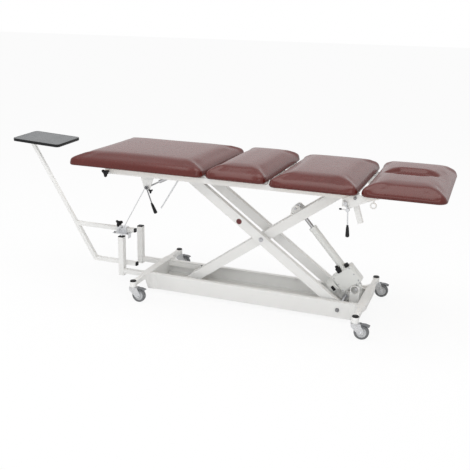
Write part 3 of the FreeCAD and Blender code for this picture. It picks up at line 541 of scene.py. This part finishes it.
def dress_cushion(node, body, end_drop):
    """Replace a cushion; end_drop is how far its head end falls away."""
    low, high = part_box(node)
    piece = add_object(node + "_cover", shrunk_copy(node), VINYL)
    remesh = piece.modifiers.new("remesh", "REMESH")
    remesh.mode = "VOXEL"
    remesh.voxel_size = REMESH
    apply_modifiers(piece)
    blow_up(piece, low.z + HELD_BELOW)
    upper = piece.vertex_groups.new(name="upper")
    for vertex in piece.data.vertices:
        share = eased(vertex.co.z, low.z + SMOOTH_FROM, low.z + SMOOTH_FULL)
        upper.add([vertex.index], max(share, 0.15), "REPLACE")
    smooth = piece.modifiers.new("smooth", "SMOOTH")
    smooth.factor = 0.6
    smooth.iterations = 18
    smooth.vertex_group = "upper"
    divide = piece.modifiers.new("divide", "SUBSURF")
    divide.levels = 1
    apply_modifiers(piece)
    crown(piece, low, high, end_drop)
    for polygon in piece.data.polygons:
        polygon.use_smooth = True
    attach(piece, body)
    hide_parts(node)


CUSHIONS = (("foot_cushion", "foot_section", 0), ("pelvic_cushion", "carriage", 0),
            ("chest_cushion", "top", 0), ("head_cushion", "head_section", 0.014))
for node, body, end_drop in CUSHIONS:
    dress_cushion(node, body, end_drop)


# Fittings of the base and the stand

CASTERS = ((1, 599, -300), (2, 599, 300), (3, -612, -300), (4, -612, 300))
POST_X = -779
POST_Y = 115
POST_TOP = 290
STAY_END = -385
STAY_LOW = 76
STAY_TOP = 102
STAND_NEAR = -98
STAND_FAR = -76
RAIL_OUT = 135
PIVOT_X = 475
LOW_PIVOT = 62
TOP_PIVOT = 686

caps = Fittings()
for number, x, y in CASTERS:
    caps.turned((x, y, 112), UP, [(0, 0), (17, 0), (17.3, 1), (17.3, 3), (15.5, 5.2), (10, 6.5),
                                  (0, 7)])
for side in (-1, 1):
    y = side * POST_Y
    caps.block((-16.4, -16.4, 0), (16.4, 16.4, 6), 2.5, origin=(POST_X, y, POST_TOP))
    caps.block((0, -13, 0), (6, 13, 26), 2.2, origin=(STAY_END, y, STAY_LOW))
caps.done("base_caps", "base", BLACK, "black_plastic", "base_end_caps")

ends = Fittings()
ends.block((0, 0, 0), (10, 22, 22), 2.4, origin=(-712, STAND_NEAR, 318))
ends.block((0, 0, 0), (10, 22, 22), 2.4, origin=(-705, STAND_NEAR, 120))
ends.done("stand_caps", "stand", BLACK, "black_plastic", "stand_end_caps")

base_bolts = Fittings()
for side, axis in ((-1, NEAR), (1, FAR)):
    bolt(base_bolts, (PIVOT_X, side * RAIL_OUT, LOW_PIVOT), axis, 11, 10.6)
for x in (POST_X - 34, POST_X + 46):
    base_bolts.nut((x, -POST_Y - 17, 317.8), UP, 5.5, 4)
for x in (507, 575):
    for y in (-28, 28):
        base_bolts.dome((x, y, 32), UP, 5, 3.2)
# The base bolts take the bolt colour darkened with painted shade
base_bolts.done("base_bolts", "base", SHADE_DARKENED_BOLT, "zinc")

base_welds = Fittings()
for side in (-1, 1):
    y = side * POST_Y
    face = POST_X + 16
    base_welds.weld((face, y - 13, STAY_TOP), (face, y + 13, STAY_TOP))
    for edge in (y - 13, y + 13):
        base_welds.weld((face, edge, STAY_LOW), (face, edge, STAY_TOP))
    for x in (-592, 579):
        base_welds.weld((x, side * 110, 111.5), (x, side * 132, 111.5), 1.6)
    base_welds.weld((-560, side * 110.5, 32.5), (540, side * 110.5, 32.5), 1.7)
base_welds.done("base_welds", "base", WHITE, "white_frame")

stand_welds = Fittings()
for y in (STAND_NEAR, STAND_FAR):
    stand_welds.weld((-1082, y, 340), (-1060, y, 340), 1.6)
    stand_welds.weld((-960, y, 142), (-938, y, 142), 1.6)
stand_welds.weld((-1081, STAND_NEAR, 341), (-1081, STAND_FAR, 341), 1.8)
stand_welds.weld((-961, STAND_NEAR, 143), (-961, STAND_FAR, 143), 1.8)
stand_welds.done("stand_welds", "stand", WHITE, "white_frame")


# Shelf: a laminate board in a black moulded edge, slightly tilted

SHELF_FRAME = Matrix.Rotation(math.radians(3), 3, "Y") @ Matrix.Rotation(math.radians(2.3), 3, "X")
SHELF_SPOT = place(-1322, 0, 777)
SHELF_LONG = 306
SHELF_WIDE = 236
SHELF_CORNER = 22


def shelf_ring(build, inset, height):
    """Rounded rectangle of the shelf, as a row of vertices."""
    long = SHELF_LONG / 2 - inset
    side = SHELF_WIDE / 2 - inset
    corner = max(SHELF_CORNER - inset, 4)
    row = []
    for quarter, (x, y) in enumerate(((1, 1), (-1, 1), (-1, -1), (1, -1))):
        for step in range(9):
            angle = math.pi / 2 * (quarter + step / 8)
            spot = Vector((x * (long - corner) + corner * math.cos(angle),
                           y * (side - corner) + corner * math.sin(angle), height)) * MM
            row.append(build.verts.new(SHELF_SPOT + SHELF_FRAME @ spot))
    return row


def shelf_piece(name, rings, material, slot, filled, *replaced):
    """A band or a filled board from rings of (inset, height)."""
    made = Fittings()
    rows = [shelf_ring(made.build, inset, height) for inset, height in rings]
    made.skin(rows, len(rows[0]))
    if filled:
        made.build.faces.new(rows[0])
        made.build.faces.new(rows[-1])
    made.done(name, "stand", material, slot, *replaced)


shelf_piece("shelf_board", [(3.4, 0.6), (3.4, 15.4)], LAMINATE, "shelf_laminate", True,
            "instrument_shelf")
shelf_piece("shelf_edge", [(3.6, 1), (2.4, 0), (1.2, 0), (0, 1.6), (0, 14.4), (1.2, 16),
                           (2.6, 16), (3.6, 15)], BLACK, "black_plastic", False)


# Casters: tyre and hub on each wheel, nuts and a race on each fork

TRAIL = 34
WHEEL_RADIUS = 37.5

for number, x, y in CASTERS:
    centre = (x + TRAIL, y, WHEEL_RADIUS)
    tyre = Fittings()
    tyre.turned(centre, NEAR, [(25.5, -8), (28, -10.2), (31, -11), (34.5, -10.6), (36.8, -8.6),
                               (37.5, -5), (37.5, -1.2), (37.0, 0), (37.5, 1.2), (37.5, 5),
                               (36.8, 8.6), (34.5, 10.6), (31, 11), (28, 10.2), (25.5, 8)],
                sides=48, closed=True)
    wheel_body = "caster_%d_wheel" % number
    tyre.done("tyre_%d" % number, wheel_body, TREAD, "caster_tread", wheel_body)
    hub = Fittings()
    hub.turned(centre, NEAR, [(4.2, -11), (10, -11), (12.5, -10), (14, -8), (23, -7.2), (25.6, -8.4),
                              (25.6, 8.4), (23, 7.2), (14, 8), (12.5, 10), (10, 11), (4.2, 11)],
               sides=40, closed=True)
    for k in range(6):
        angle = math.pi / 3 * k
        spot = (centre[0] + 18.5 * math.cos(angle), y, centre[2] + 18.5 * math.sin(angle))
        for side, axis in ((-1, NEAR), (1, FAR)):
            hub.dome((spot[0], y + side * 7.2, spot[2]), axis, 3.2, 2.2)
    hub.done("wheel_hub_%d" % number, wheel_body, HUB, "nylon")
    fork = Fittings()
    for side, axis in ((-1, NEAR), (1, FAR)):
        fork.nut((centre[0], y + side * 16, WHEEL_RADIUS), axis, 7.5, 5)
        fork.dome((x + 27, y + side * 16, 78.2), axis, 3.2, 2)
    fork.turned((x, y, 76.6), UP, [(21, 0), (22.4, 0.8), (22.4, 2.6), (21, 3.4)], sides=36,
                closed=True)
    fork.done("fork_fittings_%d" % number, "caster_%d_fork" % number, ZINC, "zinc")


# Star knobs with threaded screws

def lobes(angle):
    """The outline of a three-lobed knob, as a share of its radius."""
    return 0.48 + 0.52 * (0.5 + 0.5 * math.cos(3 * (angle - math.pi / 6))) ** 1.7


def star_knob(name, body, spot, turn, node):
    """A lobed head with a hub below it and a threaded screw."""
    knob = Fittings()
    knob.turned(spot, turn, [(0, 0), (20, 0), (22.6, 1.2), (23.5, 3.6), (23.5, 10), (22.4, 12.4),
                             (19, 13.8), (0, 14)], sides=60, shape=lobes)
    knob.turned(spot, turn, [(0, -6), (10.5, -6), (12, -4.5), (12, 2), (0, 2)])
    knob.turned(spot, turn, [(0, 13), (9.5, 13), (9.5, 15), (8, 16), (0, 16)])
    knob.done(name, body, BLACK, "black_plastic", node)
    thread = Fittings()
    rows = [(0, -40), (3.2, -40)]
    for k in range(22):
        rows += [(4.0, -39 + 1.5 * k), (3.4, -38.25 + 1.5 * k)]
    thread.turned(spot, turn, rows + [(0, -5)], sides=18)
    thread.done(name + "_screw", body, ZINC, "zinc")


knob_off = 42 * math.sin(math.radians(45))
star_knob("stand_star_knob", "stand_knob", (-785, STAND_NEAR - knob_off, 340 + knob_off),
          Matrix.Rotation(math.radians(45), 3, "X"), "stand_clamp_knob")
star_knob("rail_star_knob", "rail_knob", (-752, -310, 700),
          Matrix.Rotation(math.radians(90), 3, "X"), "rail_lock_knob")


# Levers: dark rods with black grips

def grip(made, knee, tip, y):
    """A ribbed grip, thicker towards its rounded end."""
    start = Vector((knee[0], y, knee[1]))
    run = Vector((tip[0], y, tip[1])) - start
    long = run.length
    profile = [(0, -12), (4.4, -12), (5.2, -10), (6.0, -2)]
    for k in range(9):
        at = 2 + (long - 14) * k / 8
        swell = 7.4 + 2.4 * k / 8
        profile += [(swell, at), (swell - 0.7, at + 1.6), (swell, at + 3.2)]
    profile += [(9.8, long - 6), (8.8, long - 2), (5, long + 0.4), (0, long + 1.4)]
    made.turned(tuple(start), run.normalized(), profile, sides=26)


def lever(name, body, hub, knee, tip, y, node, finish, link=None):
    """A hub, a rod to the knee and a grip to the tip, by way of a link if there is one."""
    rod = Fittings()
    rod.turned((hub[0], y + 4, hub[1]), NEAR, [(0, 0), (9.6, 0), (10, 0.6), (10, 7.4), (9.4, 8),
                                              (0, 8)])
    rod.nut((hub[0], y - 4, hub[1]), NEAR, 6.5, 4.5)
    path = [hub, link, knee] if link else [hub, knee]
    for (x0, z0), (x1, z1) in zip(path, path[1:]):
        rod.sweep([(x0 + (x1 - x0) * k / 6, y, z0 + (z1 - z0) * k / 6) for k in range(7)],
                  [3.2] * 7)
    if link:
        rod.turned((link[0], y + 5, link[1]), NEAR, [(0, 0), (8.6, 0), (9, 0.8), (9, 11.2),
                                                    (8.6, 12), (0, 12)])
        rod.sweep([(link[0] - 38, y, link[1] + 2), (link[0] - 19, y, link[1] + 1),
                   (link[0], y, link[1])], [2.5] * 3)
    rod.done(name + "_rod", body, finish, "zinc", node)
    handle = Fittings()
    grip(handle, knee, tip, y)
    if link:
        handle.turned((link[0] - 38, y, link[1] + 2), (-1, 0, 0.05), [(0, -9), (3.4, -9), (4, -7),
                                                                   (4.4, 0), (3, 3), (0, 4)])
    handle.done(name + "_grip", body, BLACK, "black_plastic")


CLAMP = (508.8, 669.3)
FOOT_HUB = (-566, 618)
lever("foot_lever", "foot_lever", FOOT_HUB, (-532, 528), (-511, 484), -219,
      "foot_release_lever", DARK_ROD)
lever("head_lever", "head_lever", CLAMP, (527.3, 554), (530, 507), -293,
      "head_release_lever", ZINC, link=(523, 638))


# Actuator: rounded gear housing, covers, connectors and bands; s runs down the screw

SCREW = Matrix.Rotation(math.radians(48.5), 3, "Y")
SCREW_SPOT = (202.295, 0, 545.783)


def on_screw(s, y, w):
    """Sheet point of a spot along the screw, off to the side and across it."""
    spot = SCREW @ Vector((s, y, w))
    return (SCREW_SPOT[0] + spot.x, y, SCREW_SPOT[2] + spot.z)


down = SCREW @ Vector((1, 0, 0))
across = SCREW @ Vector((0, 0, 1))
housing = Fittings()
housing.block((400, -30, -80), (506, 30, 50), 9, SCREW, SCREW_SPOT)
for low, high in ((-32, -28), (28, 32)):
    housing.block((407, low, -73), (499, high, 43), 1.8, SCREW, SCREW_SPOT)
housing.turned(on_screw(384, 0, 0), down, [(20.5, 0), (24, 0), (26, 2), (26, 6), (25, 7), (25, 9),
                                           (26, 10), (26, 17), (20.5, 17)], sides=40, closed=True)
housing.block((496, -12, -12), (524, 12, 12), 3, SCREW, SCREW_SPOT)
housing.turned(on_screw(523, 12, 0), NEAR, [(8, 0), (15, 0), (16, 1), (16, 23), (15, 24), (8, 24)],
               sides=36, closed=True)
housing.done("gear_housing", "screw_body", PALE_GREY, "cast_housing", "actuator_housing")

pin = Fittings()
pin.turned(on_screw(523, 44, 0), NEAR, [(0, 0), (7, 0), (8, 1), (8, 3.4), (7.2, 3.4), (7.2, 4.6),
                                        (8, 4.6), (8, 83.4), (7.2, 83.4), (7.2, 84.6), (8, 84.6),
                                        (8, 87), (7, 88), (0, 88)])
for s, w in ((414, -66), (492, -66), (414, 36), (492, 36), (453, -66), (453, 36)):
    pin.dome(on_screw(s, -32, w), NEAR, 4, 2.4)
    pin.dome(on_screw(s, 32, w), FAR, 4, 2.4)
for s in (418, 474):
    pin.dome(on_screw(s, 0, -125), -across, 4.5, 3)
pin.done("housing_pin_and_screws", "screw_body", STEEL, "steel_shaft")

bands = Fittings()
for w in (-86, -116):
    bands.turned(on_screw(446, 0, w), -across, [(39.6, 0), (41, 0.6), (41, 4.4), (39.6, 5)], sides=56,
                 closed=True)
bands.turned(on_screw(446, 0, -80), across, [(36, -3), (42, -3), (43, -2), (43, 2), (36, 4)],
             sides=56, closed=True)
bands.turned(on_screw(131, 0, 0), down, [(10.6, 0), (20, 0), (21.4, 1.4), (21.4, 11), (20.4, 12),
                                         (10.6, 12)], sides=40, closed=True)
bands.done("motor_bands", "screw_body", PALE_GREY, "cast_housing")

plugs = Fittings()
plugs.block((382, -36, 22), (403, -18, 44), 3, SCREW, SCREW_SPOT)
plugs.block((376, -38, -30), (406, -16, -6), 4, SCREW, SCREW_SPOT)
plugs.turned(on_screw(378, -27, -18), -down, [(0, 0), (9, 0), (8, 6), (6, 12), (5, 14), (0, 14)])
plugs.block((440, -42, -108), (468, -34, -92), 2.5, SCREW, SCREW_SPOT)
plugs.done("actuator_plugs", "screw_body", BLACK, "black_plastic")


# Bolts and beads of the arms, the top and the carriage

ARM_OUT = 100
CROSS_BARS = (-761, -180, 300, 540)
FRAME_TOP = 706
HEAD_PIVOT = (553, 698)

arm_bolts = Fittings()
for side, axis in ((-1, NEAR), (1, FAR)):
    bolt(arm_bolts, (40, side * ARM_OUT, 374), axis, 12.5, 10.5, 7, 1.8)
arm_bolts.done("arm_bolts", "outer_arms", STEEL, "zinc")

disc = Fittings()
disc.turned((-84.5, -ARM_OUT, 458.9), NEAR, [(0, 0), (15, 0), (15, 0.8), (14.2, 1.3), (0, 1.5)],
            sides=40)
disc.done("arm_disc", "outer_arms", MAROON, "black_plastic")

top_bolts = Fittings()
for side, axis in ((-1, NEAR), (1, FAR)):
    bolt(top_bolts, (PIVOT_X, side * RAIL_OUT, TOP_PIVOT), axis, 15, 11.5)
    top_bolts.nut((HEAD_PIVOT[0], side * 290.8, HEAD_PIVOT[1]), axis, 8.5, 4)
for x in CROSS_BARS:
    for y in (-236, -121, 121, 236):
        top_bolts.dome((x, y, FRAME_TOP), DOWN, 5, 3)
top_bolts.nut((CLAMP[0], -286.2, CLAMP[1]), NEAR, 7, 2.4)
# The top bolts take the bolt colour darkened with painted shade
top_bolts.done("top_bolts", "top", SHADE_DARKENED_BOLT, "zinc")

top_welds = Fittings()
for x in CROSS_BARS:
    for side in (-1, 1):
        top_welds.weld((x - 14, side * 251, FRAME_TOP), (x + 14, side * 251, FRAME_TOP), 1.8)
top_welds.weld((491, -281, 688), (526, -281, 688), 1.7)
top_welds.done("top_welds", "top", WHITE, "white_frame")

BRACKET_FACE = -210
carriage_bolts = Fittings()
carriage_bolts.nut((FOOT_HUB[0], BRACKET_FACE, FOOT_HUB[1]), NEAR, 7, 4)
carriage_bolts.turned((-541, BRACKET_FACE, 603), NEAR, [(0, 0), (7, 0), (7, 5), (12, 5.5), (14, 7),
                                                       (14, 13), (12.5, 15), (0, 16)],
                      sides=60, shape=lobes)
for x in (-596, -536):
    carriage_bolts.dome((x, BRACKET_FACE, 712), NEAR, 4.5, 3)
carriage_bolts.done("carriage_bolts", "carriage", BLACK, "black_plastic")


# Floor, backdrop and lights

def add_floor():
    mesh = bpy.data.meshes.new("floor")
    build = bmesh.new()
    bmesh.ops.create_grid(build, x_segments=1, y_segments=1, size=40.0)
    build.to_mesh(mesh)
    build.free()
    material = bpy.data.materials.new("floor")
    material.use_nodes = True
    tree = material.node_tree
    surface = tree.nodes["Principled BSDF"]
    surface.inputs["Base Color"].default_value = (0.82, 0.82, 0.82, 1.0)
    surface.inputs["Roughness"].default_value = 0.9
    surface.inputs["Specular IOR Level"].default_value = 0.1
    glow = tree.nodes.new("ShaderNodeEmission")
    glow.inputs["Color"].default_value = (1.0, 1.0, 1.0, 1.0)
    path = tree.nodes.new("ShaderNodeLightPath")
    blend = tree.nodes.new("ShaderNodeMixShader")
    share = tree.nodes.new("ShaderNodeMath")
    share.operation = "MULTIPLY"
    share.inputs[1].default_value = 0.9
    tree.links.new(path.outputs["Is Camera Ray"], share.inputs[0])
    tree.links.new(share.outputs[0], blend.inputs[0])
    tree.links.new(surface.outputs[0], blend.inputs[1])
    tree.links.new(glow.outputs[0], blend.inputs[2])
    tree.links.new(blend.outputs[0], tree.nodes["Material Output"].inputs["Surface"])
    floor = bpy.data.objects.new("floor", mesh)
    scene.collection.objects.link(floor)
    mesh.materials.append(material)


def add_world():
    world = bpy.data.worlds.new("studio")
    scene.world = world
    world.use_nodes = True
    tree = world.node_tree
    ground = tree.nodes["Background"]
    ground.inputs["Color"].default_value = (1.0, 1.0, 1.0, 1.0)
    ground.inputs["Strength"].default_value = 0.76
    seen = tree.nodes.new("ShaderNodeBackground")
    seen.inputs["Color"].default_value = (1.0, 1.0, 1.0, 1.0)
    seen.inputs["Strength"].default_value = 1.0
    path = tree.nodes.new("ShaderNodeLightPath")
    either = tree.nodes.new("ShaderNodeMath")
    either.operation = "MAXIMUM"
    again = tree.nodes.new("ShaderNodeMath")
    again.operation = "MAXIMUM"
    blend = tree.nodes.new("ShaderNodeMixShader")
    tree.links.new(path.outputs["Is Camera Ray"], either.inputs[0])
    tree.links.new(path.outputs["Is Glossy Ray"], either.inputs[1])
    tree.links.new(either.outputs[0], again.inputs[0])
    tree.links.new(path.outputs["Is Transmission Ray"], again.inputs[1])
    tree.links.new(again.outputs[0], blend.inputs[0])
    tree.links.new(ground.outputs[0], blend.inputs[1])
    tree.links.new(seen.outputs[0], blend.inputs[2])
    tree.links.new(blend.outputs[0], tree.nodes["World Output"].inputs["Surface"])


def add_softbox(name, spot, aim, width, height, power):
    data = bpy.data.lights.new(name, "AREA")
    data.shape = "RECTANGLE"
    data.size = width
    data.size_y = height
    data.energy = power
    light = bpy.data.objects.new(name, data)
    scene.collection.objects.link(light)
    direction = Vector(aim) - Vector(spot)
    light.matrix_world = (Matrix.Translation(spot)
                          @ direction.to_track_quat("-Z", "Y").to_matrix().to_4x4())


add_floor()
add_world()
add_softbox("over", (0.3, -0.6, 4.2), (0.2, 0.0, 0.6), 4.0, 3.0, 84.0)
add_softbox("front", (1.2, -4.6, 2.6), (0.2, 0.0, 0.5), 3.5, 2.5, 36.0)
add_softbox("side", (-4.5, -1.5, 2.4), (0.0, 0.0, 0.6), 2.5, 2.5, 18.0)
scene.view_settings.view_transform = "Standard"
